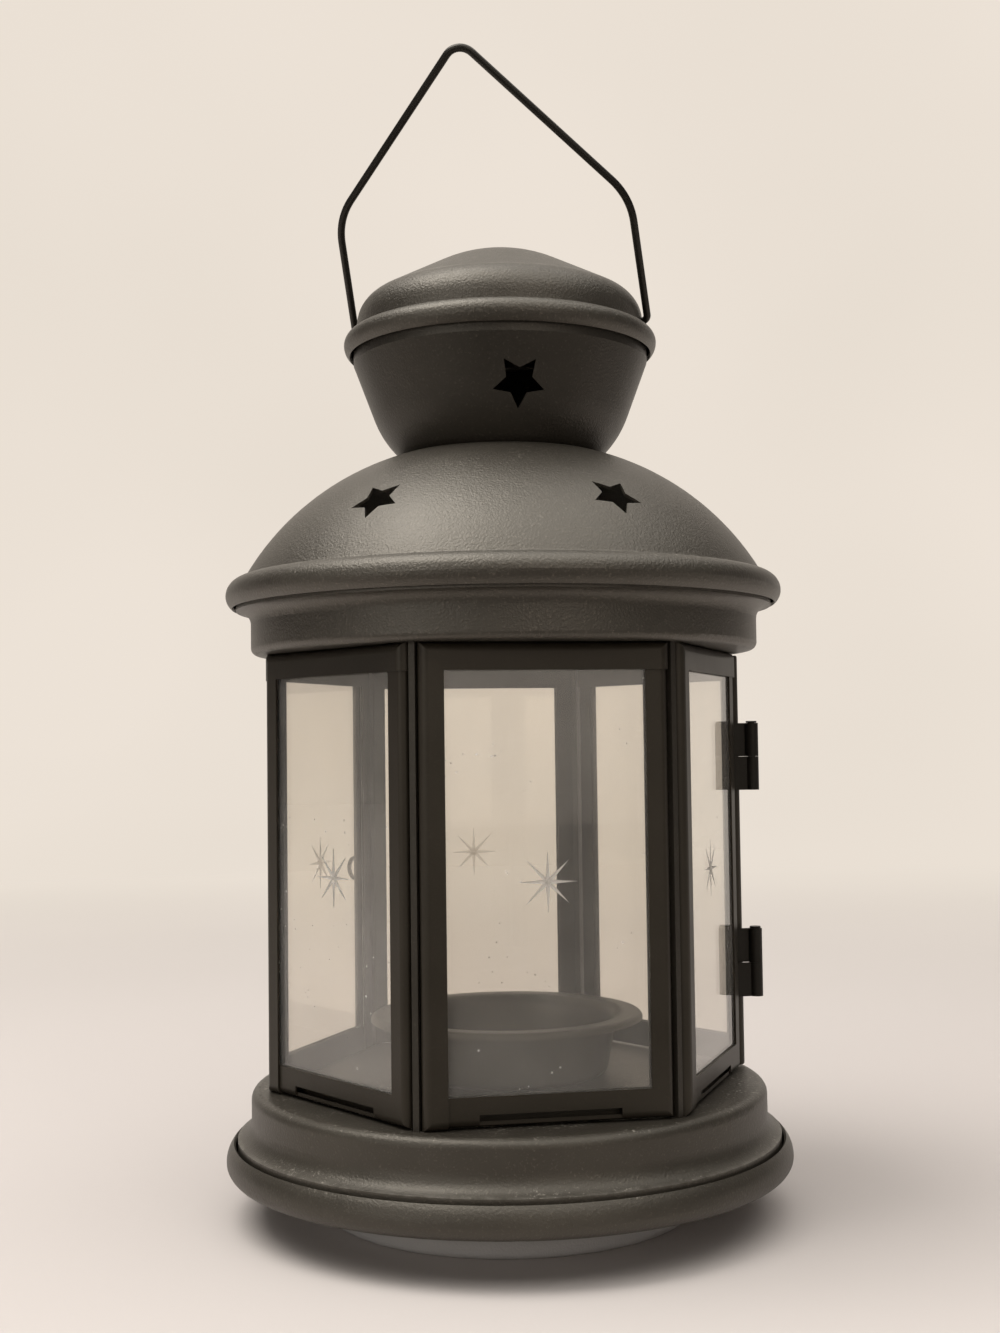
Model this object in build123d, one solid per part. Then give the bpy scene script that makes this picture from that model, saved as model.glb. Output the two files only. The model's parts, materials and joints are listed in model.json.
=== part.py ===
from build123d import *
import os
from math import acos, atan2, cos, hypot, radians, sin, sqrt, tan

# A small pressed-steel candle lantern: a round base, six glazed panels, a domed roof with punched
# star vents, a vent bowl, a cap and a wire bail. Two of the panels form one hinged door.
# Millimetres, +Z up, origin on the table under the middle of the foot, front of the lantern to -Y.

# Pressed sheet and its fits
sheet = 0.6
seat_gap = 0.05
skirt_gap = 0.3

# Base pan: foot, rolled rim and lip
foot_radius = 40.0
foot_edge = 1.5
foot_height = 9.2
base_rim_radius = 60.7
base_rim_rise = 2.9
pan_lip_inset = 1.5
pan_lip_rise = 3.8

# Base drum: the step that the panels stand on
drum_edge = 2.0
drum_height = 26.8
drum_ridge_rise = 0.9
drum_cove_reach = 2.9
drum_cove_rise = 4.0
plateau_rise = 1.5

# Glazed panels
panel_count = 6
front_turn = 10.0
apothem = 46.4
panel_width = 52.0
panel_height = 92.4
frame_sheet = 0.4
inner_bend = 1.0
lap_gap = 0.05
stile_width = 6.2
top_rail_height = 5.5
bottom_rail_height = 6.2
notch_width = 27.7
notch_height = 2.8
pane_lift = 0.6
glass_thickness = 2.0
glass_gap = 0.05
door_gap = 0.4
door_proud = 2.0

# Star cut into each pane
cut_rays = 8
cut_reach = 5.85
cut_heart = 0.5
cut_half_width = 0.42
cut_depth = 0.3

# Strips in the corners between the panels
strip_setback = 2.0
strip_depth = 4.0
tab_depth = 2.0
tab_proud = 1.0
slot_gap = 0.1
stop_sheet = 0.5
stop_reach = 4.0
stop_gap = 0.3

# Door hinges and pull
hinge_offset = 2.9
hinge_spacing = 46.0
hinge_length = 15.0
knuckle_radius = 1.5
knuckle_gap = 0.05
leaf_sheet = 0.5
leaf_depth = 6.0
pin_radius = 0.75
pin_fit = 0.05
pin_head_radius = 1.2
pin_head_height = 0.4
pull_wire = 1.0
pull_radius = 2.5
pull_drop = 3.5
pull_reach = 2.7
pull_foot = 3.4

# Candle cup and its rivet
cup_base_radius = 21.0
cup_wall_radius = 23.6
cup_rim_radius = 28.4
cup_rim_drop = 0.8
cup_height = 12.6
cup_corner = 2.0
rivet_radius = 1.5
rivet_head_radius = 3.0
rivet_head_height = 0.8

# Collar under the dome
collar_edge = 1.5
collar_mouth_radius = 43.0
collar_wall_height = 6.6
collar_ledge = 1.47
collar_cove_rise = 2.8

# Dome: lip, rolled rim, crease, arc and flat neck
dome_lip_height = 9.9
dome_lip_inset = 1.3
dome_rim_radius = 60.4
dome_rim_rise = 2.7
dome_crease_inset = 4.0
dome_crease_rise = 3.8
dome_arc_radius = 57.4
dome_rise = 26.6
neck_radius = 22.9
neck_flat = 2.2

# Vent bowl on the neck
bowl_foot_inset = 1.4
bowl_waist_rise = 9.2
bowl_wall_flare = 4.4
bowl_top_radius = 32.4
bowl_rise = 21.0
spigot_length = 4.6

# Cap: lip, rolled rim, wall, shoulder and low cone
cap_lip_rise = 1.7
cap_rim_bulge = 1.2
cap_rim_rise = 2.5
cap_wall_inset = 2.9
cap_crease_rise = 2.6
cap_wall_height = 2.0
cap_shoulder_inset = 4.2
cap_shoulder_rise = 6.5
cap_cone_rise = 10.1
cap_tip_radius = 32.3

# Punched stars, each with one point down; the turns count from the lantern's front
star_points = 5
star_radius = 5.65
star_waist = 2.85
dome_stars = 6
dome_star_inset = 9.4
dome_star_turn = -31.7
bowl_stars = 3
bowl_star_drop = 9.7
bowl_star_turn = 7.7

# Bail: one bent wire through two holes in the cap's wall
bail_wire = 1.6
bail_fit = 0.05
bail_turn = -11.0
bail_lean = 40.0
bail_pivot_rise = 1.4
bail_side_gap = 0.6
bail_tail = 3.2
bail_kink_inset = 1.4
bail_kink_height = 28.2
bail_peak_height = 63.4
bail_foot_bend = 1.4
bail_kink_bend = 15.0
bail_peak_bend = 3.5

# Places worked out from the sizes above
half_corner = 180.0 / panel_count
flare = tan(radians(half_corner))
slant = cos(radians(half_corner))
glass_inset = 2 * frame_sheet + lap_gap + glass_gap
panel_depth = glass_thickness + 2 * glass_inset
panel_bend = inner_bend + 2 * frame_sheet + lap_gap
panel_bottom = drum_height
panel_top = drum_height + panel_height
corner_radius = apothem / slant
door_corner_radius = (apothem + door_proud) / slant
corner_gap = (2 * apothem * flare - panel_width) * slant
strip_outer = corner_radius - strip_setback
strip_inner = strip_outer - strip_depth
strip_sheet = corner_gap - 2 * seat_gap
plateau_apothem = (strip_inner - skirt_gap) * slant
plateau_height = drum_height + plateau_rise
base_rim_height = foot_height + base_rim_rise
pan_lip_radius = base_rim_radius - pan_lip_inset
pan_lip_height = base_rim_height + pan_lip_rise
drum_skirt_radius = pan_lip_radius - sheet - skirt_gap
drum_radius = drum_skirt_radius - drum_cove_reach
drum_ridge_height = pan_lip_height + drum_ridge_rise
dome_lip_radius = dome_rim_radius - dome_lip_inset
collar_skirt_radius = dome_lip_radius - sheet - skirt_gap
collar_radius = corner_radius + collar_ledge
dome_lip = panel_top + dome_lip_height
dome_rim = dome_lip + dome_rim_rise
dome_crease = dome_rim + dome_crease_rise
dome_crease_radius = dome_rim_radius - dome_crease_inset
dome_star_place = dome_crease_radius - dome_star_inset
neck_height = dome_crease + dome_rise
neck_hole_radius = neck_radius - neck_flat
bowl_foot_radius = neck_radius - bowl_foot_inset
bowl_waist = neck_height + bowl_waist_rise
bowl_waist_radius = bowl_top_radius - bowl_wall_flare
bowl_top = neck_height + bowl_rise
cap_lip_radius = bowl_top_radius + skirt_gap + sheet
cap_lip = bowl_top + cap_lip_rise
cap_rim_radius = cap_lip_radius + cap_rim_bulge
cap_rim = cap_lip + cap_rim_rise
cap_wall_radius = cap_rim_radius - cap_wall_inset
cap_crease = cap_rim + cap_crease_rise
cap_wall_top = cap_crease + cap_wall_height
cap_shoulder_radius = cap_wall_radius - cap_shoulder_inset
cap_shoulder = cap_wall_top + cap_shoulder_rise
cap_apex = cap_shoulder + cap_cone_rise
hinge_radius = corner_radius + hinge_offset
panel_middle = panel_bottom + panel_height / 2
bail_pivot = cap_crease + bail_pivot_rise
bail_half_span = cap_wall_radius + bail_side_gap + bail_wire / 2

# Each panel's outward direction, and each corner's, as a turn in degrees from the lantern's front
panel_names = ("front", "right", "door_right", "door_rear", "rear_left", "left")
panel_step = 360.0 / panel_count
panel_turns = {name: front_turn + k * panel_step for k, name in enumerate(panel_names)}
door_panels = ("door_right", "door_rear")
strip_turns = {
    "front_left_corner_strip": panel_turns["front"] - half_corner,
    "front_right_corner_strip": panel_turns["front"] + half_corner,
    "left_corner_strip": panel_turns["left"] - half_corner,
}
hinge_turn = panel_turns["door_right"] - half_corner
door_corner_turn = panel_turns["door_right"] + half_corner
latch_turn = panel_turns["door_rear"] + half_corner


def turned(solid, turn):
    """Turn a solid about the lantern's axis."""
    return Rot(0, 0, turn) * solid


def faced(solid, turn):
    """Turn a solid drawn on the +X side to a direction that counts from the lantern's front."""
    return turned(solid, turn - 90)


def tangent_radius(across, along):
    """Radius of the arc that leaves upright and ends across and along from its start."""
    return (across ** 2 + along ** 2) / (2 * across)


def redrawn(edge):
    """The same edge, drawn afresh where it is an arc, so that its parameters start at zero."""
    if edge.geom_type != GeomType.CIRCLE:
        return edge
    return ThreePointArc(edge @ 0, edge @ 0.5, edge @ 1)


def pressed(*edges):
    """Revolve a sheet whose outer face follows the edges, taken with the inside on their left."""
    outline = Wire(list(edges)).offset_2d(sheet, kind=Kind.ARC, side=Side.LEFT, closed=True)
    section = Wire([redrawn(edge) for edge in outline.edges()])
    return revolve(Plane.XZ * Face(section), Axis.Z)


def hexagon(half_width, low, high):
    """An upright six-sided block in line with the panels."""
    flat = RegularPolygon(half_width, panel_count, major_radius=False)
    block = extrude(flat, high - low)
    return Pos(0, 0, low) * turned(block, front_turn)


def tab_slot(turn, level):
    """Cutter for the slot that a corner strip's tab goes through, in a plate that ends at a level."""
    middle = strip_outer - strip_depth / 2
    reach = sheet + tab_proud + slot_gap
    cutter = Box(tab_depth + 2 * slot_gap, strip_sheet + 2 * slot_gap, 2 * reach)
    return faced(Pos(middle, 0, level) * cutter, turn)


def base_pan():
    """Dish with the foot, whose rim rolls up and over the drum's skirt."""
    turn_in = base_rim_radius - base_rim_rise
    floor = FilletPolyline(
        (0, 0), (foot_radius, 0), (foot_radius, foot_height), (turn_in, foot_height),
        radius=[foot_edge, foot_edge],
    )
    roll = RadiusArc((turn_in, foot_height), (base_rim_radius, base_rim_height), -base_rim_rise)
    lip = TangentArc((base_rim_radius, base_rim_height), (pan_lip_radius, pan_lip_height), tangent=(0, 1))
    return pressed(*floor.edges(), roll, lip)


def base_drum():
    """Step of the base: skirt, cove, wall and top, with a raised hexagon inside the panels."""
    cove_top = drum_ridge_height + drum_cove_rise
    roll_middle = base_rim_radius - base_rim_rise
    roll_drop = sqrt((base_rim_rise - sheet) ** 2 - (drum_skirt_radius - roll_middle) ** 2)
    skirt_foot = base_rim_height - roll_drop + seat_gap
    skirt = Line((drum_skirt_radius, skirt_foot), (drum_skirt_radius, drum_ridge_height))
    cove = TangentArc((drum_radius, cove_top), (drum_skirt_radius, drum_ridge_height), tangent=(0, -1))
    wall = FilletPolyline(
        (drum_radius, cove_top), (drum_radius, drum_height), (0, drum_height), radius=drum_edge,
    )
    drum = pressed(skirt, cove, *wall.edges())
    inner_half = plateau_apothem - sheet
    drum -= hexagon(inner_half, drum_height - 2 * sheet, drum_height + sheet)
    plateau = hexagon(plateau_apothem, drum_height - sheet, plateau_height)
    plateau -= hexagon(inner_half, drum_height - sheet, plateau_height - sheet)
    drum += plateau
    for turn in strip_turns.values():
        drum -= tab_slot(turn, drum_height)
    bore = Cylinder(rivet_radius + seat_gap, 4 * sheet)
    return drum - Pos(0, 0, plateau_height) * bore


def candle_cup():
    """Cup with a turned-out rim, standing on the raised hexagon."""
    low = plateau_height
    rim = low + cup_height
    shell = FilletPolyline(
        (0, low), (cup_base_radius, low), (cup_wall_radius, rim), (cup_rim_radius, rim),
        (cup_rim_radius, rim - cup_rim_drop),
        radius=[cup_corner, cup_corner, sheet],
    )
    bore = Cylinder(rivet_radius + seat_gap, 4 * sheet)
    return pressed(*shell.edges()) - Pos(0, 0, low) * bore


def cup_rivet():
    """Rivet that holds the cup down on the base."""
    under = plateau_height - sheet
    over = plateau_height + sheet
    shank = Pos(0, 0, (under + over) / 2) * Cylinder(rivet_radius, over - under)
    upper = Pos(0, 0, over + rivet_head_height / 2) * Cylinder(rivet_head_radius, rivet_head_height)
    lower = Pos(0, 0, under - rivet_head_height / 2) * Cylinder(rivet_head_radius, rivet_head_height)
    return shank + upper + lower


def half_width(depth, inset, proud):
    """Half the width of a panel's section, at a depth behind its face and inside an inset."""
    return panel_width / 2 + (proud - depth) * flare - inset / slant


def panel_block(inset, low, high, proud):
    """A panel on the front side as a solid block, drawn in by an inset, its front edges rounded."""
    face = -apothem - proud
    near = inset
    far = panel_depth - inset
    near_half = half_width(near, inset, proud)
    far_half = half_width(far, inset, proud)
    plan = Polyline(
        (-near_half, face + near), (near_half, face + near),
        (far_half, face + far), (-far_half, face + far), close=True,
    )
    block = extrude(make_face(plan), high - low - 2 * inset)
    block = Pos(0, 0, low + inset) * block
    front = block.faces().sort_by(Axis.Y)[0]
    return fillet(front.edges(), panel_bend - inset)


def slab(left, right, low, high, proud, depth):
    """Block on the front side, between two sides and two heights, to a depth behind a panel's face."""
    face = -apothem - proud
    near = face - panel_depth
    far = face + depth
    middle = ((left + right) / 2, (near + far) / 2, (low + high) / 2)
    return Pos(*middle) * Box(right - left, far - near, high - low)


def upper_frame(low, high, proud):
    """Folded channel along the panel's left side and top, which laps over the lower half."""
    skin = panel_block(0, low, high, proud) - panel_block(frame_sheet, low, high, proud)
    left = -half_width(0, 0, proud)
    through = 2 * panel_depth
    stile = slab(left, left + stile_width, low, high, proud, through)
    rail = slab(left, -left, high - top_rail_height, high, proud, through)
    return skin & (stile + rail)


def lower_frame(low, high, proud):
    """Folded channel along the panel's right side and bottom, its front wall notched at the foot."""
    outer = frame_sheet + lap_gap
    inner = outer + frame_sheet
    skin = panel_block(outer, low, high, proud) - panel_block(inner, low, high, proud)
    right = half_width(0, 0, proud)
    through = 2 * panel_depth
    stile = slab(right - stile_width, right, low, high, proud, through)
    rail = slab(-right, right, low, low + bottom_rail_height, proud, through)
    notch = slab(-notch_width / 2, notch_width / 2, low, low + notch_height, proud, glass_inset)
    return (skin & (stile + rail)) - notch


def cut_star(middle, face):
    """Cutters for the star on a pane's outer face: narrow rays that meet near its heart."""
    ray = make_face(Polyline(
        (0, 0), (cut_heart, cut_half_width), (cut_reach, 0), (cut_heart, -cut_half_width), close=True,
    ))
    plane = Plane(origin=(0, face, middle), x_dir=(1, 0, 0), z_dir=(0, -1, 0))
    rays = [plane * (Rot(0, 0, 360 * k / cut_rays) * ray) for k in range(cut_rays)]
    return [extrude(one, cut_depth, dir=(0, 1, 0)) for one in rays]


def pane(low, high, proud):
    """Glass held in the two channels above the notch, its front edges seamed, with a star cut into it."""
    half = half_width(panel_depth - glass_inset, glass_inset, proud)
    foot = low + notch_height + pane_lift
    top = high - glass_inset
    face = glass_inset - apothem - proud
    place = Pos(0, face + glass_thickness / 2, (foot + top) / 2)
    glass = place * Box(2 * half, glass_thickness, top - foot)
    front = glass.faces().sort_by(Axis.Y)[0]
    glass = chamfer(front.edges(), inner_bend)
    for ray in cut_star((low + high) / 2, face):
        glass -= ray
    return glass


def panel_parts():
    """Frame halves and pane of all six panels, by name."""
    parts = {}
    for name, turn in panel_turns.items():
        in_door = name in door_panels
        ease = door_gap if in_door else 0
        proud = door_proud if in_door else 0
        low = panel_bottom + ease
        high = panel_top - ease
        parts[name + "_frame_upper"] = turned(upper_frame(low, high, proud), turn)
        parts[name + "_frame_lower"] = turned(lower_frame(low, high, proud), turn)
        parts[name + "_glass"] = turned(pane(low, high, proud), turn)
    return parts


def corner_strip(turn, low, high, outer, tabs):
    """Flat strip soldered between two panels, with a tab at each end where it carries the roof."""
    middle = outer - strip_depth / 2
    strip = Pos(middle, 0, (low + high) / 2) * Box(strip_depth, strip_sheet, high - low)
    if tabs:
        tab_length = high - low + 2 * (sheet + tab_proud)
        strip += Pos(middle, 0, (low + high) / 2) * Box(tab_depth, strip_sheet, tab_length)
    return faced(strip, turn)


def door_stop():
    """Strip on the rear-left panel's free side, bent behind the door's back for it to close on."""
    aside = corner_gap / 2 - seat_gap - stop_sheet / 2
    fixed = Pos(strip_outer - strip_depth / 2, aside, 0) * Box(strip_depth, stop_sheet, panel_height)
    back = apothem + door_proud - panel_depth - stop_gap
    end = back * flare + aside / slant - stop_sheet * flare
    loose = Pos(end - stop_reach / 2, stop_sheet / 2 - back, 0) * Box(stop_reach, stop_sheet, panel_height)
    strip = faced(fixed, latch_turn) + turned(loose, panel_turns["door_rear"])
    return Pos(0, 0, panel_middle) * strip


def hinge_half(low, high, side):
    """Knuckle and leaf of one hinge half; the leaf lies on one side of the corner's gap."""
    length = high - low
    leaf_middle = side * (corner_gap / 2 - seat_gap - leaf_sheet / 2)
    leaf = Pos(hinge_radius - leaf_depth / 2, leaf_middle, 0) * Box(leaf_depth, leaf_sheet, length)
    barrel = Pos(hinge_radius, 0, 0) * Cylinder(knuckle_radius, length)
    bore = Pos(hinge_radius, 0, 0) * Cylinder(pin_radius + pin_fit, length)
    half = (barrel + leaf) - bore
    return faced(Pos(0, 0, (low + high) / 2) * half, hinge_turn)


def hinge_pin(low, high):
    """Pin with a flat head on top, from the foot of the barrel to just over it."""
    shank = Pos(0, 0, (low + high) / 2) * Cylinder(pin_radius, high - low)
    head = Pos(0, 0, high + pin_head_height / 2) * Cylinder(pin_head_radius, pin_head_height)
    return faced(Pos(hinge_radius, 0, 0) * (shank + head), hinge_turn)


def hinge_parts():
    """Both hinges: fixed leaf below, door leaf above, and the pin."""
    parts = {}
    for name, offset in (("upper", hinge_spacing / 2), ("lower", -hinge_spacing / 2)):
        middle = panel_middle + offset
        low = middle - hinge_length / 2
        high = middle + hinge_length / 2
        parts[name + "_hinge_fixed_leaf"] = hinge_half(low, middle - knuckle_gap / 2, -1)
        parts[name + "_hinge_door_leaf"] = hinge_half(middle + knuckle_gap / 2, high, 1)
        parts[name + "_hinge_pin"] = hinge_pin(low, high + knuckle_gap)
    return parts


def door_pull():
    """Wire loop whose two legs lie in the corner's gap on the door's free edge."""
    start = door_corner_radius - pull_foot
    end = door_corner_radius + pull_reach
    path = Wire([
        Line((start, -pull_radius), (end, -pull_radius)),
        ThreePointArc((end, -pull_radius), (end + pull_radius, 0), (end, pull_radius)),
        Line((end, pull_radius), (start, pull_radius)),
    ])
    path = Plane.XZ * path
    wire = sweep(Plane(path @ 0, z_dir=path % 0) * Circle(pull_wire / 2), path=path)
    rest = pull_wire / 2 + seat_gap - corner_gap / 2
    return faced(Pos(0, rest, panel_middle - pull_drop) * wire, latch_turn)


def collar():
    """Drum under the dome: plate over the panels, wall, cove and skirt inside the dome's rim."""
    cove_start = panel_top + collar_wall_height
    ridge = cove_start + collar_cove_rise
    roll = tangent_radius(dome_crease_inset, dome_crease_rise)
    roll_middle = dome_rim_radius - roll
    skirt_top = dome_rim + sqrt((roll - sheet) ** 2 - (collar_skirt_radius - roll_middle) ** 2) - seat_gap
    wall = FilletPolyline(
        (collar_mouth_radius, panel_top), (collar_radius, panel_top), (collar_radius, cove_start),
        radius=collar_edge,
    )
    cove = TangentArc((collar_radius, cove_start), (collar_skirt_radius, ridge), tangent=(0, 1))
    skirt = Line((collar_skirt_radius, ridge), (collar_skirt_radius, skirt_top))
    ring = pressed(*wall.edges(), cove, skirt)
    for turn in strip_turns.values():
        ring -= tab_slot(turn, panel_top)
    return ring


def punched_star(place, outward, turn):
    """Cutter for one star vent, square to the sheet at a place on its section, one point down."""
    points = []
    for k in range(2 * star_points):
        reach = star_waist if k % 2 else star_radius
        way = radians(-90 + 180 * k / star_points)
        points.append((reach * cos(way), reach * sin(way)))
    plane = Plane(origin=(place[0], 0, place[1]), x_dir=(0, 1, 0), z_dir=(outward[0], 0, outward[1]))
    cutter = extrude(plane * make_face(Polyline(*points, close=True)), star_radius, both=True)
    return faced(cutter, turn)


def dome():
    """Domed roof with its rolled rim below, its flat neck above and a ring of star vents."""
    lip = RadiusArc(
        (dome_lip_radius, dome_lip), (dome_rim_radius, dome_rim),
        -tangent_radius(dome_lip_inset, dome_rim_rise),
    )
    roll = TangentArc((dome_rim_radius, dome_rim), (dome_crease_radius, dome_crease), tangent=(0, 1))
    arc = RadiusArc((dome_crease_radius, dome_crease), (neck_radius, neck_height), -dome_arc_radius)
    neck = Line((neck_radius, neck_height), (neck_hole_radius, neck_height))
    shell = pressed(lip, roll, arc, neck)
    middle = arc.arc_center
    rise = sqrt(dome_arc_radius ** 2 - (dome_star_place - middle.X) ** 2)
    outward = (dome_star_place - middle.X, rise)
    for k in range(dome_stars):
        turn = dome_star_turn + 360 * k / dome_stars
        shell -= punched_star((dome_star_place, middle.Y + rise), outward, turn)
    return shell


def vent_bowl():
    """Flared bowl that stands in the dome's neck, with its own star vents."""
    spigot_radius = neck_hole_radius - seat_gap
    roll = tangent_radius(cap_wall_inset, cap_crease_rise)
    roll_middle = cap_rim_radius - roll
    skirt_top = cap_rim + sqrt((roll - sheet) ** 2 - (bowl_top_radius - roll_middle) ** 2) - seat_gap
    foot = Polyline(
        (spigot_radius, neck_height - spigot_length), (spigot_radius, neck_height),
        (bowl_foot_radius, neck_height),
    )
    wall = Line((bowl_waist_radius, bowl_waist), (bowl_top_radius, bowl_top))
    arc = TangentArc(
        (bowl_waist_radius, bowl_waist), (bowl_foot_radius, neck_height),
        tangent=(-bowl_wall_flare, bowl_waist - bowl_top),
    )
    skirt = Line((bowl_top_radius, bowl_top), (bowl_top_radius, skirt_top))
    shell = pressed(*foot.edges(), arc, wall, skirt)
    wall_height = bowl_top - bowl_waist
    place = (bowl_top_radius - bowl_wall_flare * bowl_star_drop / wall_height, bowl_top - bowl_star_drop)
    for k in range(bowl_stars):
        turn = bowl_star_turn + 360 * k / bowl_stars
        shell -= punched_star(place, (wall_height, -bowl_wall_flare), turn)
    return shell


def cap():
    """Cap over the bowl: rolled rim, upright wall, shoulder and low cone with a rounded tip."""
    lip = RadiusArc(
        (cap_lip_radius, cap_lip), (cap_rim_radius, cap_rim),
        -tangent_radius(cap_rim_bulge, cap_rim_rise),
    )
    roll = TangentArc((cap_rim_radius, cap_rim), (cap_wall_radius, cap_crease), tangent=(0, 1))
    wall = Line((cap_wall_radius, cap_crease), (cap_wall_radius, cap_wall_top))
    shoulder = TangentArc(
        (cap_wall_radius, cap_wall_top), (cap_shoulder_radius, cap_shoulder), tangent=(0, 1),
    )
    tip_middle = cap_apex - cap_tip_radius
    drop = cap_shoulder - tip_middle
    turn = atan2(drop, cap_shoulder_radius) + acos(cap_tip_radius / hypot(drop, cap_shoulder_radius))
    touch = (cap_tip_radius * cos(turn), tip_middle + cap_tip_radius * sin(turn))
    cone = Line((cap_shoulder_radius, cap_shoulder), touch)
    tip = RadiusArc(touch, (0, cap_apex), -cap_tip_radius)
    shell = pressed(lip, roll, wall, shoulder, cone, tip)
    hole = Cylinder(bail_wire / 2 + bail_fit, 2 * bail_half_span, rotation=(0, 90, 0))
    return shell - turned(Pos(0, 0, bail_pivot) * hole, bail_turn)


def bail():
    """Wire handle with two kinks and a peak, leaning on its pivots."""
    kink = bail_half_span - bail_kink_inset
    tail = bail_half_span - bail_side_gap - bail_tail
    path = FilletPolyline(
        (-tail, 0), (-bail_half_span, 0), (-kink, bail_kink_height), (0, bail_peak_height),
        (kink, bail_kink_height), (bail_half_span, 0), (tail, 0),
        radius=[bail_foot_bend, bail_kink_bend, bail_peak_bend, bail_kink_bend, bail_foot_bend],
    )
    path = Plane.XZ * Wire(path.edges())
    wire = sweep(Plane(path @ 0, z_dir=path % 0) * Circle(bail_wire / 2), path=path)
    leaning = Rot(bail_lean, 0, 0) * wire
    return turned(Pos(0, 0, bail_pivot) * leaning, bail_turn)


def all_parts():
    """Every piece of the lantern, by name."""
    parts = {"base_pan": base_pan(), "base_drum": base_drum()}
    parts["candle_cup"] = candle_cup()
    parts["cup_rivet"] = cup_rivet()
    parts.update(panel_parts())
    for name, turn in strip_turns.items():
        parts[name] = corner_strip(turn, panel_bottom, panel_top, strip_outer, tabs=True)
    parts["door_corner_strip"] = corner_strip(
        door_corner_turn, panel_bottom + door_gap, panel_top - door_gap,
        door_corner_radius - strip_setback, tabs=False,
    )
    parts["door_stop"] = door_stop()
    parts.update(hinge_parts())
    parts["door_pull"] = door_pull()
    parts["collar"] = collar()
    parts["dome"] = dome()
    parts["vent_bowl"] = vent_bowl()
    parts["cap"] = cap()
    parts["bail"] = bail()
    return parts


os.makedirs("parts", exist_ok=True)
for part_name, part_solid in all_parts().items():
    export_step(part_solid, f"parts/{part_name}.step")
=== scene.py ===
import json
import math

import bmesh
import bpy
from mathutils import Matrix, Vector


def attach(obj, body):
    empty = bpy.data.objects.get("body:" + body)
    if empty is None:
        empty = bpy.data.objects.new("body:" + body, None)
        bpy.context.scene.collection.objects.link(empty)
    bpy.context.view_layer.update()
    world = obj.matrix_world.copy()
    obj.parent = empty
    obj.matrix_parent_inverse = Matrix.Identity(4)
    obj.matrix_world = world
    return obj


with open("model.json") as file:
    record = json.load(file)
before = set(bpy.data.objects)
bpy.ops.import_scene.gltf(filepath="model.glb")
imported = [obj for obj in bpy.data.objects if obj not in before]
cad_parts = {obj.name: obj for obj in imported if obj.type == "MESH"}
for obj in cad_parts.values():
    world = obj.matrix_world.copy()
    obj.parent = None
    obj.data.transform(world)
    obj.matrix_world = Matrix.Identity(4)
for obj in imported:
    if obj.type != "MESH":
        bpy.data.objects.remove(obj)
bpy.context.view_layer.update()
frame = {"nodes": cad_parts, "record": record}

scene = bpy.context.scene
MM = 0.001

# Sizes that the pieces added here share with the solids, in millimetres and degrees
APOTHEM = 46.4
DOOR_PROUD = 2.0
GLASS_INSET = 0.9
PANE_MIDDLE = 73.0
CUT_RAYS = 8
CUT_REACH = 5.85
CUT_HEART = 0.5
CUT_HALF_WIDTH = 0.42
CUT_DEPTH = 0.3
FOOT_HEIGHT = 9.2
ROOF_EDGES = (135.6, 190.0, 198.5)
BASE_EDGES = (16.8,)
PANEL_COUNT = 6.0
PANEL_START = 40.0
PANELS = {
    "front": (280.0, 0.0, "lantern"),
    "right": (340.0, 0.0, "lantern"),
    "door_right": (40.0, DOOR_PROUD, "door"),
    "door_rear": (100.0, DOOR_PROUD, "door"),
    "rear_left": (160.0, 0.0, "lantern"),
    "left": (220.0, 0.0, "lantern"),
}

# The ground ray inside each groove of a cut star, in millimetres and as a share of the groove's outline
RAY_SHARE = 0.95
RAY_START = 0.06
RAY_RIM = 0.02
RAY_VALLEY = 0.2
RAY_GAP = 0.03

# Ranges that many surfaces use: the two ways across, and what most of a noise field covers
RISING = (0.0, 1.0)
FALLING = (1.0, 0.0)
MIDDLE = (0.3, 0.7)

# Powder coat: noise fields with their scale per metre, heights in metres
BLOTCH = {"scale": 38.0, "detail": 5.0, "rough": 0.6}
GLOSS_RANGE = (0.25, 0.75)
PEBBLE = {"scale": 2000.0, "detail": 2.0, "rough": 0.55}
PEBBLE_STRENGTH = 0.55
PEBBLE_HEIGHT = 0.00011
SWELL = {"scale": 420.0, "detail": 2.0, "rough": 0.5}
SWELL_STRENGTH = 0.16
SWELL_HEIGHT = 0.00012
FLECK_RANGE = (0.6, 0.78)
FLECK_SHARE = 0.7
FLECK_LIFT = 2.2
WARM_SHINE = (1.0, 0.93, 0.82)

# Wear and dust on the coat, and painted light on the foot
RUBBED = (0.17, 0.16, 0.14)
RUB_REACH = 0.45
RUB_RANGE = (0.35, 0.65)
RUB_SHARE = (0.05, 0.45)
# Painted light: the foot, shaded under the rim, is painted pale grey as if lit from below
FOOT_PAINTED_LIGHT = (0.55, 0.54, 0.535)
FOOT_FADE = (FOOT_HEIGHT * MM, 0.3 * FOOT_HEIGHT * MM)
FOOT_SHARE = (0.0, 0.8)
DUST = (0.42, 0.39, 0.34)
DUST_SLOPE = (0.5, 0.95)
CRUMBS = {"scale": 1300.0, "detail": 3.0, "rough": 0.7}
CRUMB_RANGE = (0.57, 0.68)
PATCHES = {"scale": 70.0, "detail": 4.0, "rough": 0.6}
PATCH_RANGE = (0.44, 0.66)

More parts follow.
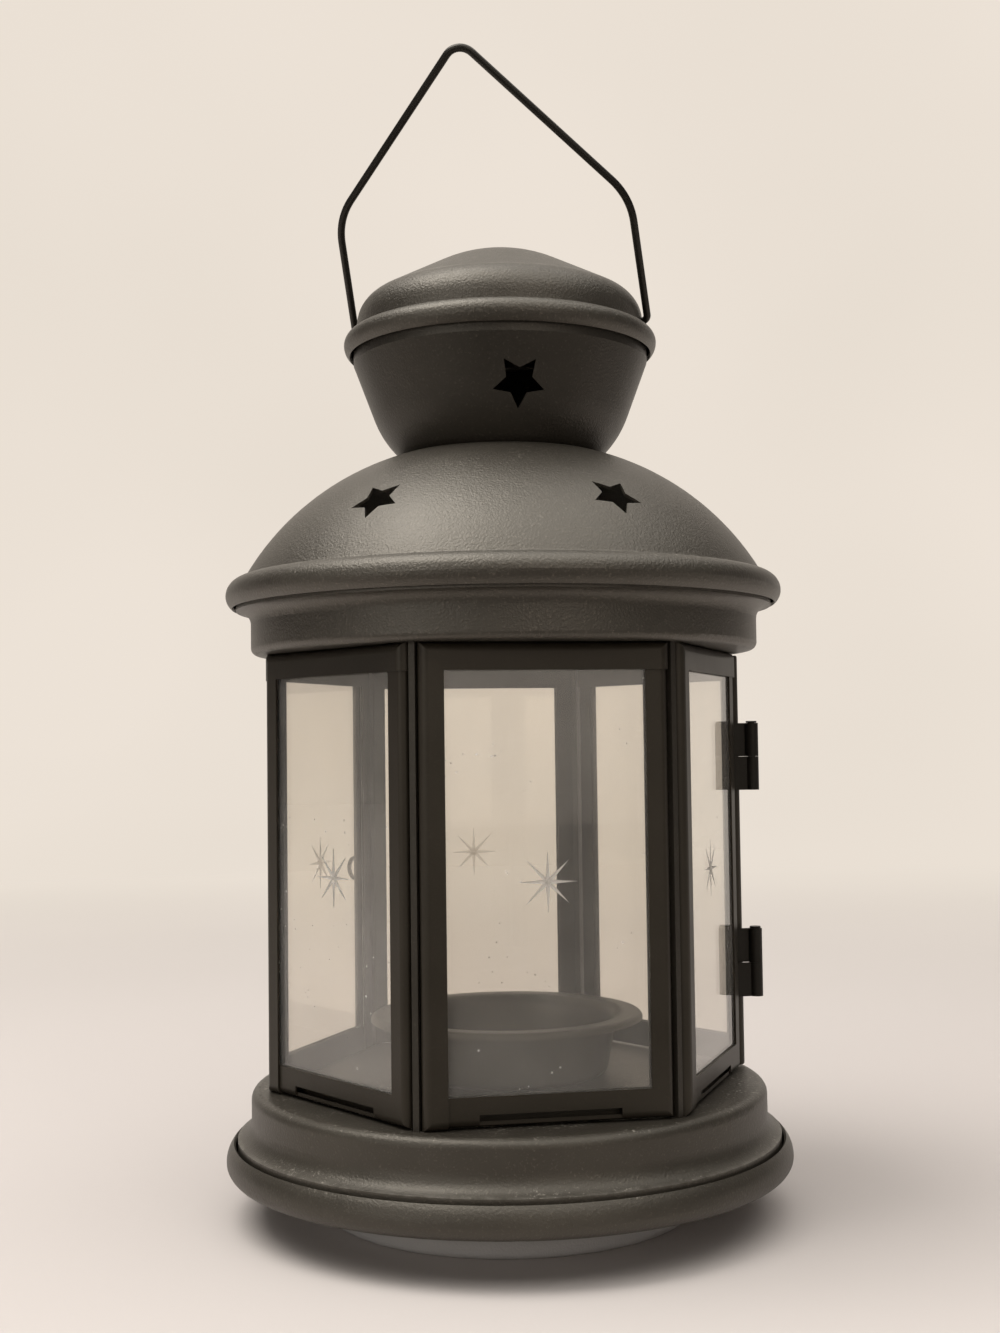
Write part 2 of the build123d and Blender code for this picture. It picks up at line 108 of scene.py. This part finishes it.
COATS = {
    "roof_coat": {
        "name": "roof_powder_coat", "dark": (0.020, 0.017, 0.013), "light": (0.030, 0.026, 0.020),
        "rough": (0.40, 0.49), "shine": 1.0, "grain": 2.2, "dust": 0.35, "edges": ROOF_EDGES,
    },
    "base_coat": {
        "name": "base_powder_coat", "dark": (0.020, 0.017, 0.013), "light": (0.030, 0.026, 0.020),
        "rough": (0.40, 0.49), "shine": 0.7, "grain": 1.4, "dust": 1.0, "edges": BASE_EDGES, "foot": True,
    },
    # The cup's coat is lighter than the other coats: painted light, for the light that falls into the cup
    # through the glass
    "cup_coat": {
        "name": "cup_powder_coat_painted_light", "dark": (0.046, 0.040, 0.031), "light": (0.062, 0.054, 0.043),
        "rough": (0.42, 0.52), "grain": 0.4, "dust": 0.5,
    },
    "panel_coat": {
        "name": "panel_powder_coat", "dark": (0.015, 0.012, 0.008), "light": (0.022, 0.018, 0.013),
        "rough": (0.40, 0.50), "shine": 0.4, "grain": 0.35,
    },
    "strip_steel": {
        "name": "strip_powder_coat", "dark": (0.014, 0.012, 0.009), "light": (0.020, 0.017, 0.013),
        "rough": (0.42, 0.52),
    },
    "hinge_steel": {
        "name": "hinge_black", "dark": (0.006, 0.005, 0.004), "light": (0.010, 0.009, 0.008),
        "rough": (0.42, 0.52), "shine": 0.3, "grain": 0.6,
    },
    "wire": {
        "name": "wire_black", "dark": (0.006, 0.006, 0.005), "light": (0.010, 0.009, 0.008),
        "rough": (0.30, 0.40), "shine": 0.4, "grain": 0.12,
    },
}
# Nodes whose coat is not quite that of their slot: the vent bowl's coat is a darker copy of the roof's
# coat, painted shade for the shade the bowl sits in
SHADED_COATS = {
    "vent_bowl": {
        "name": "bowl_powder_coat_painted_shade", "dark": (0.014, 0.012, 0.009), "light": (0.021, 0.018, 0.014),
        "rough": (0.40, 0.49), "shine": 0.6, "grain": 1.6, "edges": ROOF_EDGES,
    },
}

# Glass of the panes: clear faces with haze, smears and specks, and ground edges and cuts
GLASS_DARK = (0.94, 0.905, 0.85)
GLASS_LIGHT = (0.96, 0.93, 0.88)
GLASS_IOR = 1.46
CLEAR_SHARE = (0.944, 0.90)
SMEAR = {"scale": 45.0, "detail": 4.0, "rough": 0.6}
SMEAR_RANGE = (0.55, 0.8)
SMEAR_ROUGH = (0.0, 0.03)
SPECK = (0.8, 0.78, 0.74)
SPECK_SCALE = 410.0
SPECK_SIZE = 0.12
SPECK_CORE = 0.4
SPECK_RANGE = (0.54, 0.64)
SPECK_CLEAR = (1.0, 0.1)
SQUARE_RANGE = (0.90, 0.97)
UPRIGHT_RANGE = (0.05, 0.02)
GROUND_ROUGH = 0.5

# Ground glass of the cut rays
GRIND = {"scale": 2500.0, "detail": 2.0}
GRIND_ROUGH = (0.5, 0.75)
GRIND_STRENGTH = 0.5
GRIND_HEIGHT = 0.00005
GROUND_DARK = (0.70, 0.68, 0.65)
GROUND_LIGHT = (0.84, 0.82, 0.79)
GROUND_CLEAR = (1.0, 0.6)
GROUND_IOR = 1.2
OUTWARD_RANGE = (0.3 * APOTHEM * MM, 0.5 * APOTHEM * MM)

# Floor and backdrop, in metres
FLOOR_FRONT = -1.6
SWEEP_BACK = 0.9
SWEEP_BEND = 0.5
SWEEP_STEPS = 24
SWEEP_TOP = 2.4
SWEEP_HALF = 2.4
PAPER_DARK = (0.60, 0.555, 0.535)
PAPER_LIGHT = (0.64, 0.595, 0.575)
PAPER_ROUGH = 0.9
PAPER_SHINE = 0.2
PAPER_CLOUDS = {"scale": 2.2, "detail": 2.0, "rough": 0.4}
FIBRE = {"scale": 900.0, "detail": 2.0}
FIBRE_STRENGTH = 0.08
FIBRE_HEIGHT = 0.0003
BACKDROP_DARK = (0.80, 0.725, 0.64)
BACKDROP_LIGHT = (0.84, 0.76, 0.675)
BACKDROP_AROUND = (0.12, 0.95)
BACKDROP_BEHIND = (0.0, 0.95)
SIDES_FADE = (0.7, 1.8)
# Painted reflection: in front of the lantern the paper glows this dark tone for glossy rays only, so the
# metal's shine shows a dark front
PAINTED_DARK_REFLECTION = (0.05, 0.045, 0.04)
DARK_REFLECTION_REACH = (-0.06, -0.20)
DARK_REFLECTION_SHARE = (0.0, 0.9)

# Light: lamps in metres and watts, and the world's strength from the horizon up
LAMPS = {
    "key_lamp": {
        "spot": (-0.50, -0.12, 1.15), "aim": (0.0, 0.0, 0.12), "wide": 0.7, "tall": 0.7,
        "power": 7.4, "colour": (1.0, 0.965, 0.91),
    },
    "top_lamp": {
        "spot": (0.0, -0.30, 1.30), "aim": (0.0, -0.1, 0.12), "wide": 2.2, "tall": 1.8,
        "power": 26.0, "colour": (1.0, 0.97, 0.92),
    },
    "front_lamp": {
        "spot": (0.50, -1.30, 0.45), "aim": (0.0, 0.0, 0.45), "wide": 0.9, "tall": 0.9,
        "power": 3.0, "colour": (1.0, 0.90, 0.80), "fade": 0.3,
    },
    "fill_lamp": {
        "spot": (-0.75, -0.85, 0.30), "aim": (0.0, 0.0, 0.02), "wide": 0.8, "tall": 0.4,
        "power": 1.8, "colour": (1.0, 0.96, 0.90),
    },
}
WORLD_TONE = (1.0, 0.965, 0.93)
WORLD_STRENGTH = (0.12, 0.06)
HORIZON_REACH = (0.0, 0.35)

# The photograph's camera as fitted: pixels, degrees and metres
PHOTO_WIDE = 1000.0
PHOTO_TALL = 1333.0
PHOTO_FOCAL = 1637.0
PHOTO_CENTRE = 504.0
CAMERA_SPOT = (0.0, -0.360, 0.0996)
CAMERA_PITCH = 2.69
CAMERA_ROLL = -0.73
CAMERA_NEAREST = 0.01
SENSOR_WIDE = 36.0


def start(name):
    """A new material with its tree and its main shader."""
    made = bpy.data.materials.new(name)
    made.use_nodes = True
    tree = made.node_tree
    return made, tree, tree.nodes["Principled BSDF"]


def place(tree):
    """The surface's own place, which stays with the piece when it moves."""
    return tree.nodes.new("ShaderNodeTexCoord").outputs["Object"]


def own_normal(tree):
    """The way the surface faces, which stays with the piece when it moves."""
    return tree.nodes.new("ShaderNodeTexCoord").outputs["Normal"]


def noise(tree, where, scale, detail, rough=0.5):
    """A noise field from 0 to 1."""
    field = tree.nodes.new("ShaderNodeTexNoise")
    field.inputs["Scale"].default_value = scale
    field.inputs["Detail"].default_value = detail
    field.inputs["Roughness"].default_value = rough
    tree.links.new(where, field.inputs["Vector"])
    return field.outputs["Fac"]


def span(tree, value, source, target=RISING, eased=False):
    """A value carried from one range to another, held at its ends."""
    node = tree.nodes.new("ShaderNodeMapRange")
    if eased:
        node.interpolation_type = "SMOOTHSTEP"
    node.inputs["From Min"].default_value, node.inputs["From Max"].default_value = source
    node.inputs["To Min"].default_value, node.inputs["To Max"].default_value = target
    tree.links.new(value, node.inputs["Value"])
    return node.outputs["Result"]


def specks(tree, where, scale, size):
    """1 inside small round specks that are scattered over the surface, 0 elsewhere."""
    cells = tree.nodes.new("ShaderNodeTexVoronoi")
    cells.inputs["Scale"].default_value = scale
    cells.inputs["Randomness"].default_value = 1.0
    tree.links.new(where, cells.inputs["Vector"])
    return span(tree, cells.outputs["Distance"], (size, size * SPECK_CORE))


def math_node(tree, operation, one, two=None):
    """The result of a math node on one output and a number or a second output."""
    node = tree.nodes.new("ShaderNodeMath")
    node.operation = operation
    tree.links.new(one, node.inputs[0])
    if isinstance(two, float):
        node.inputs[1].default_value = two
    elif two is not None:
        tree.links.new(two, node.inputs[1])
    return node.outputs["Value"]


def times(tree, one, two):
    """The product of two values."""
    return math_node(tree, "MULTIPLY", one, two)


def larger(tree, one, two):
    """The larger of two values."""
    return math_node(tree, "MAXIMUM", one, two)


def size_of(tree, value):
    """A value without its sign."""
    return math_node(tree, "ABSOLUTE", value)


def split(tree, vector):
    """The X, Y and Z parts of a vector."""
    parts = tree.nodes.new("ShaderNodeSeparateXYZ")
    tree.links.new(vector, parts.inputs["Vector"])
    return parts.outputs["X"], parts.outputs["Y"], parts.outputs["Z"]


def upward(tree, vector):
    """The Z part of a vector."""
    return split(tree, vector)[2]


def blend(tree, amount, one, two):
    """A colour between two, each a colour or another node's output."""
    node = tree.nodes.new("ShaderNodeMix")
    node.data_type = "RGBA"
    tree.links.new(amount, node.inputs["Factor"])
    for value, socket in ((one, node.inputs["A"]), (two, node.inputs["B"])):
        if isinstance(value, tuple):
            socket.default_value = (*value, 1.0)
        else:
            tree.links.new(value, socket)
    return node.outputs["Result"]


def blend_shaders(tree, amount, one, two):
    """A shader between two."""
    node = tree.nodes.new("ShaderNodeMixShader")
    tree.links.new(amount, node.inputs["Fac"])
    tree.links.new(one, node.inputs[1])
    tree.links.new(two, node.inputs[2])
    return node.outputs["Shader"]


def bump(tree, height, strength, distance, normal=None):
    """A bumped normal from a height field."""
    node = tree.nodes.new("ShaderNodeBump")
    node.inputs["Strength"].default_value = strength
    node.inputs["Distance"].default_value = distance
    tree.links.new(height, node.inputs["Height"])
    if normal is not None:
        tree.links.new(normal, node.inputs["Normal"])
    return node.outputs["Normal"]


def facing_up(tree, slope):
    """1 where the surface faces up, 0 where it stands."""
    return span(tree, upward(tree, tree.nodes.new("ShaderNodeNewGeometry").outputs["Normal"]), slope)


def facing_out(tree, where):
    """1 where the surface faces away from the lantern's axis, 0 where it faces in or aside."""
    x, y, _ = split(tree, where)
    way_x, way_y, _ = split(tree, own_normal(tree))
    return span(tree, math_node(tree, "ADD", times(tree, x, way_x), times(tree, y, way_y)), OUTWARD_RANGE)


def flat_faces(tree):
    """1 on the two large faces of a pane, 0 on its edges and in its cuts."""
    x, y, z = split(tree, own_normal(tree))
    turns = times(tree, math_node(tree, "ARCTAN2", y, x), PANEL_COUNT)
    turns = math_node(tree, "SUBTRACT", turns, PANEL_COUNT * math.radians(PANEL_START))
    square = span(tree, math_node(tree, "COSINE", turns), SQUARE_RANGE)
    return times(tree, square, span(tree, size_of(tree, z), UPRIGHT_RANGE))


def edge_lines(tree, where, levels):
    """1 along the edges that run round the lantern at some heights, fading out beside them."""
    lines = None
    for level in levels:
        above = math_node(tree, "SUBTRACT", upward(tree, where), level * MM)
        line = span(tree, size_of(tree, above), (0.0, RUB_REACH * MM), FALLING)
        lines = line if lines is None else larger(tree, lines, line)
    return lines


def coat(name, dark, light, rough, shine=0.5, grain=1.0, dust=0.0, edges=(), foot=False):
    """Satin powder coat: a fine pebble, soft blotches of tone and gloss, rubbed edges, lying dust, and
    painted light that makes the shaded foot pale.
    """
    made, tree, shader = start(name)
    where = place(tree)
    blotch = noise(tree, where, **BLOTCH)
    pebble = noise(tree, where, **PEBBLE)
    swell = noise(tree, where, **SWELL)
    colour = blend(tree, span(tree, blotch, MIDDLE), dark, light)
    fleck = span(tree, pebble, FLECK_RANGE, (0.0, FLECK_SHARE * grain))
    colour = blend(tree, fleck, colour, tuple(FLECK_LIFT * part for part in light))
    if edges:
        rub = times(tree, edge_lines(tree, where, edges), span(tree, swell, RUB_RANGE, RUB_SHARE))
        colour = blend(tree, rub, colour, RUBBED)
    # Painted light: pale grey below the foot's height, as if the shaded foot were lit
    if foot:
        colour = blend(tree, span(tree, upward(tree, where), FOOT_FADE, FOOT_SHARE), colour, FOOT_PAINTED_LIGHT)
    if dust:
        crumbs = span(tree, noise(tree, where, **CRUMBS), CRUMB_RANGE)
        lying = times(tree, facing_up(tree, DUST_SLOPE), crumbs)
        patch = span(tree, noise(tree, where, **PATCHES), PATCH_RANGE, (0.0, dust))
        colour = blend(tree, times(tree, lying, patch), colour, DUST)
    tree.links.new(colour, shader.inputs["Base Color"])
    tree.links.new(span(tree, blotch, GLOSS_RANGE, rough), shader.inputs["Roughness"])
    shader.inputs["Specular IOR Level"].default_value = shine
    shader.inputs["Specular Tint"].default_value = (*WARM_SHINE, 1.0)
    under = bump(tree, swell, SWELL_STRENGTH * grain, SWELL_HEIGHT)
    normal = bump(tree, pebble, PEBBLE_STRENGTH * grain, PEBBLE_HEIGHT, under)
    tree.links.new(normal, shader.inputs["Normal"])
    return made


def clear_glass(name):
    """Clear pane with a faint warm tint, a thin film of haze, smears and a few dust specks."""
    made, tree, shader = start(name)
    where = place(tree)
    smear = noise(tree, where, **SMEAR)
    dust = times(tree, specks(tree, where, SPECK_SCALE, SPECK_SIZE), span(tree, smear, SPECK_RANGE))
    colour = blend(tree, span(tree, smear, MIDDLE), GLASS_DARK, GLASS_LIGHT)
    tree.links.new(blend(tree, dust, colour, SPECK), shader.inputs["Base Color"])
    ground = size_of(tree, math_node(tree, "SUBTRACT", flat_faces(tree), 1.0))
    smooth = span(tree, smear, SMEAR_RANGE, SMEAR_ROUGH)
    rough = larger(tree, smooth, times(tree, ground, GROUND_ROUGH))
    tree.links.new(rough, shader.inputs["Roughness"])
    clear = times(tree, span(tree, smear, MIDDLE, CLEAR_SHARE), span(tree, dust, RISING, SPECK_CLEAR))
    tree.links.new(clear, shader.inputs["Transmission Weight"])
    shader.inputs["IOR"].default_value = GLASS_IOR
    return made


def ground_glass(name):
    """Glass of the cut rays, ground on the outside only."""
    made, tree, shader = start(name)
    where = place(tree)
    grind = noise(tree, where, **GRIND)
    tree.links.new(blend(tree, grind, GROUND_DARK, GROUND_LIGHT), shader.inputs["Base Color"])
    tree.links.new(span(tree, grind, MIDDLE, GRIND_ROUGH), shader.inputs["Roughness"])
    tree.links.new(bump(tree, grind, GRIND_STRENGTH, GRIND_HEIGHT), shader.inputs["Normal"])
    clear = span(tree, facing_out(tree, where), RISING, GROUND_CLEAR)
    tree.links.new(clear, shader.inputs["Transmission Weight"])
    shader.inputs["IOR"].default_value = GROUND_IOR
    return made


def backdrop_paper(name):
    """Pale paper: lit like any floor near the lantern, an even pale tone around it, and a painted dark
    reflection in front, which only the shine on the metal shows."""
    made, tree, shader = start(name)
    where = place(tree)
    x, y, _ = split(tree, where)
    tone = span(tree, noise(tree, where, **PAPER_CLOUDS), MIDDLE)
    fibre = noise(tree, where, **FIBRE)
    tree.links.new(blend(tree, tone, PAPER_DARK, PAPER_LIGHT), shader.inputs["Base Color"])
    tree.links.new(bump(tree, fibre, FIBRE_STRENGTH, FIBRE_HEIGHT), shader.inputs["Normal"])
    shader.inputs["Roughness"].default_value = PAPER_ROUGH
    shader.inputs["Specular IOR Level"].default_value = PAPER_SHINE
    even = tree.nodes.new("ShaderNodeEmission")
    tree.links.new(blend(tree, tone, BACKDROP_DARK, BACKDROP_LIGHT), even.inputs["Color"])
    # Painted reflection: a dark glow in front that only the shine on the metal sees
    dark_reflection = tree.nodes.new("ShaderNodeEmission")
    dark_reflection.inputs["Color"].default_value = (*PAINTED_DARK_REFLECTION, 1.0)

    path = tree.nodes.new("ShaderNodeLightPath").outputs
    far = tree.nodes.new("ShaderNodeVectorMath")
    far.operation = "LENGTH"
    tree.links.new(where, far.inputs[0])
    around = span(tree, far.outputs["Value"], BACKDROP_AROUND, eased=True)
    behind = span(tree, y, BACKDROP_BEHIND, eased=True)
    beside = span(tree, size_of(tree, x), SIDES_FADE, FALLING, eased=True)
    before = span(tree, y, DARK_REFLECTION_REACH, DARK_REFLECTION_SHARE, eased=True)
    sight = times(tree, larger(tree, path["Is Camera Ray"], path["Is Transmission Ray"]), around)
    shine = times(tree, path["Is Glossy Ray"], times(tree, behind, beside))
    pale = blend_shaders(tree, larger(tree, sight, shine), shader.outputs["BSDF"], even.outputs["Emission"])
    reflected_dark = times(tree, path["Is Glossy Ray"], before)
    surface = blend_shaders(tree, reflected_dark, pale, dark_reflection.outputs["Emission"])
    tree.links.new(surface, tree.nodes["Material Output"].inputs["Surface"])
    return made


def ray_solid(made, turn):
    """Adds a cut star's ray to a mesh: a thin kite with a shallow V along its top."""
    half = CUT_HALF_WIDTH * RAY_SHARE
    outline = [(RAY_START, 0.0), (CUT_HEART, -half), (CUT_REACH * RAY_SHARE, 0.0), (CUT_HEART, half)]
    ring = [turn @ Vector((x, y, 0.0)) for x, y in outline]
    heart = turn @ Vector((CUT_HEART, 0.0, 0.0))
    top = [made.verts.new((p.x, p.y, -RAY_RIM)) for p in ring]
    low = [made.verts.new((p.x, p.y, RAY_GAP - CUT_DEPTH)) for p in ring]
    valley = made.verts.new((heart.x, heart.y, -RAY_VALLEY))
    for i, j in zip(range(len(ring)), (*range(1, len(ring)), 0)):
        made.faces.new((top[i], top[j], valley))
        made.faces.new((top[j], top[i], low[i], low[j]))
    made.faces.new(low[::-1])


def cut_star(name, angle, proud, body, material):
    """The ground rays of a pane's cut star, each inside its groove in the pane."""
    made = bmesh.new()
    for k in range(CUT_RAYS):
        ray_solid(made, Matrix.Rotation(2 * math.pi * k / CUT_RAYS, 3, "Z"))
    bmesh.ops.recalc_face_normals(made, faces=made.faces)
    mesh = bpy.data.meshes.new(name)
    made.to_mesh(mesh)
    made.free()
    turn = math.radians(angle)
    outward = Vector((math.cos(turn), math.sin(turn), 0.0))
    along = Vector((-math.sin(turn), math.cos(turn), 0.0))
    up = Vector((0.0, 0.0, 1.0))
    spot = outward * (APOTHEM + proud - GLASS_INSET) + up * PANE_MIDDLE
    facing = Matrix((along, up, outward)).transposed().to_4x4()
    mesh.transform(Matrix.Translation(spot * MM) @ facing @ Matrix.Scale(MM, 4))
    mesh.materials.append(material)
    star = bpy.data.objects.new(name, mesh)
    scene.collection.objects.link(star)
    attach(star, body)


def sweep_floor():
    """Floor that bends up into a backdrop behind the lantern."""
    profile = [(FLOOR_FRONT, 0.0), (0.0, 0.0)]
    for k in range(SWEEP_STEPS + 1):
        turn = math.pi / 2 * k / SWEEP_STEPS
        profile.append((SWEEP_BACK + SWEEP_BEND * math.sin(turn), SWEEP_BEND - SWEEP_BEND * math.cos(turn)))
    profile.append((SWEEP_BACK + SWEEP_BEND, SWEEP_TOP))
    made = bmesh.new()
    rows = [[made.verts.new((x, y, z)) for x in (-SWEEP_HALF, SWEEP_HALF)] for y, z in profile]
    for one, two in zip(rows, rows[1:]):
        made.faces.new((one[0], one[1], two[1], two[0]))
    mesh = bpy.data.meshes.new("floor_sweep")
    made.to_mesh(mesh)
    made.free()
    mesh.shade_smooth()
    mesh.materials.append(backdrop_paper("backdrop_paper"))
    floor = bpy.data.objects.new("floor_sweep", mesh)
    scene.collection.objects.link(floor)


def soft_lamp(name, spot, aim, wide, tall, power, colour, fade=0.0):
    """A soft panel lamp that points at a place, fading out over a share of its lower part."""
    lamp = bpy.data.lights.new(name, "AREA")
    lamp.shape = "RECTANGLE"
    lamp.size = wide
    lamp.size_y = tall
    lamp.energy = power
    lamp.color = colour
    if fade:
        lamp.use_nodes = True
        tree = lamp.node_tree
        _, height, _ = split(tree, tree.nodes.new("ShaderNodeNewGeometry").outputs["Parametric"])
        level = span(tree, height, (0.0, fade), eased=True)
        tree.links.new(level, tree.nodes["Emission"].inputs["Strength"])
    holder = bpy.data.objects.new(name, lamp)
    holder.location = spot
    holder.rotation_euler = (Vector(aim) - Vector(spot)).to_track_quat("-Z", "Y").to_euler()
    scene.collection.objects.link(holder)


def pale_world():
    """Weak light from all sides, a little stronger low down. The camera sees it as the backdrop's tone,
    and so does the glass, low down."""
    world = bpy.data.worlds.new("studio")
    world.use_nodes = True
    tree = world.node_tree
    height = upward(tree, tree.nodes.new("ShaderNodeTexCoord").outputs["Generated"])
    sky = tree.nodes["Background"]
    sky.inputs["Color"].default_value = (*WORLD_TONE, 1.0)
    tree.links.new(span(tree, height, HORIZON_REACH, WORLD_STRENGTH, eased=True), sky.inputs["Strength"])
    seen = tree.nodes.new("ShaderNodeBackground")
    seen.inputs["Color"].default_value = (*BACKDROP_DARK, 1.0)
    path = tree.nodes.new("ShaderNodeLightPath").outputs
    low = span(tree, height, HORIZON_REACH, FALLING, eased=True)
    sight = larger(tree, path["Is Camera Ray"], times(tree, path["Is Transmission Ray"], low))
    surface = blend_shaders(tree, sight, sky.outputs["Background"], seen.outputs["Background"])
    tree.links.new(surface, tree.nodes["World Output"].inputs["Surface"])
    scene.world = world


def photo_camera():
    """Camera at the photograph's place, with its focal length and tilts."""
    pitch, roll = math.radians(CAMERA_PITCH), math.radians(CAMERA_ROLL)
    forward = Vector((0.0, math.cos(pitch), math.sin(pitch)))
    up = Vector((0.0, -math.sin(pitch), math.cos(pitch)))
    right = Vector((1.0, 0.0, 0.0))
    rolled_right = right * math.cos(roll) + up * math.sin(roll)
    rolled_up = up * math.cos(roll) - right * math.sin(roll)
    lens = bpy.data.cameras.new("photo_camera")
    lens.sensor_fit = "AUTO"
    lens.sensor_width = SENSOR_WIDE
    lens.lens = SENSOR_WIDE * PHOTO_FOCAL / PHOTO_TALL
    lens.shift_x = (PHOTO_WIDE / 2 - PHOTO_CENTRE) / PHOTO_TALL
    lens.clip_start = CAMERA_NEAREST
    camera = bpy.data.objects.new("photo_camera", lens)
    turn = Matrix((rolled_right, rolled_up, -forward)).transposed().to_4x4()
    camera.matrix_world = Matrix.Translation(CAMERA_SPOT) @ turn
    scene.collection.objects.link(camera)
    scene.camera = camera


materials = {slot: coat(**look) for slot, look in COATS.items()}
materials["pane_glass"] = clear_glass("pane_clear_glass")
# The vent bowl gets its darker copy of the roof coat, which is painted shade
shaded_materials = {node: coat(**look) for node, look in SHADED_COATS.items()}
for part in frame["record"]["subparts"]:
    slots = frame["nodes"][part["node"]].data.materials
    slots.clear()
    slots.append(shaded_materials.get(part["node"], materials[part["material_slot"]]))

star_glass = ground_glass("cut_star_ground_glass")
for panel, (angle, proud, body) in PANELS.items():
    cut_star(panel + "_cut_star", angle, proud, body, star_glass)

sweep_floor()
for lamp_name, lamp in LAMPS.items():
    soft_lamp(lamp_name, **lamp)
pale_world()
photo_camera()
scene.view_settings.view_transform = "Standard"
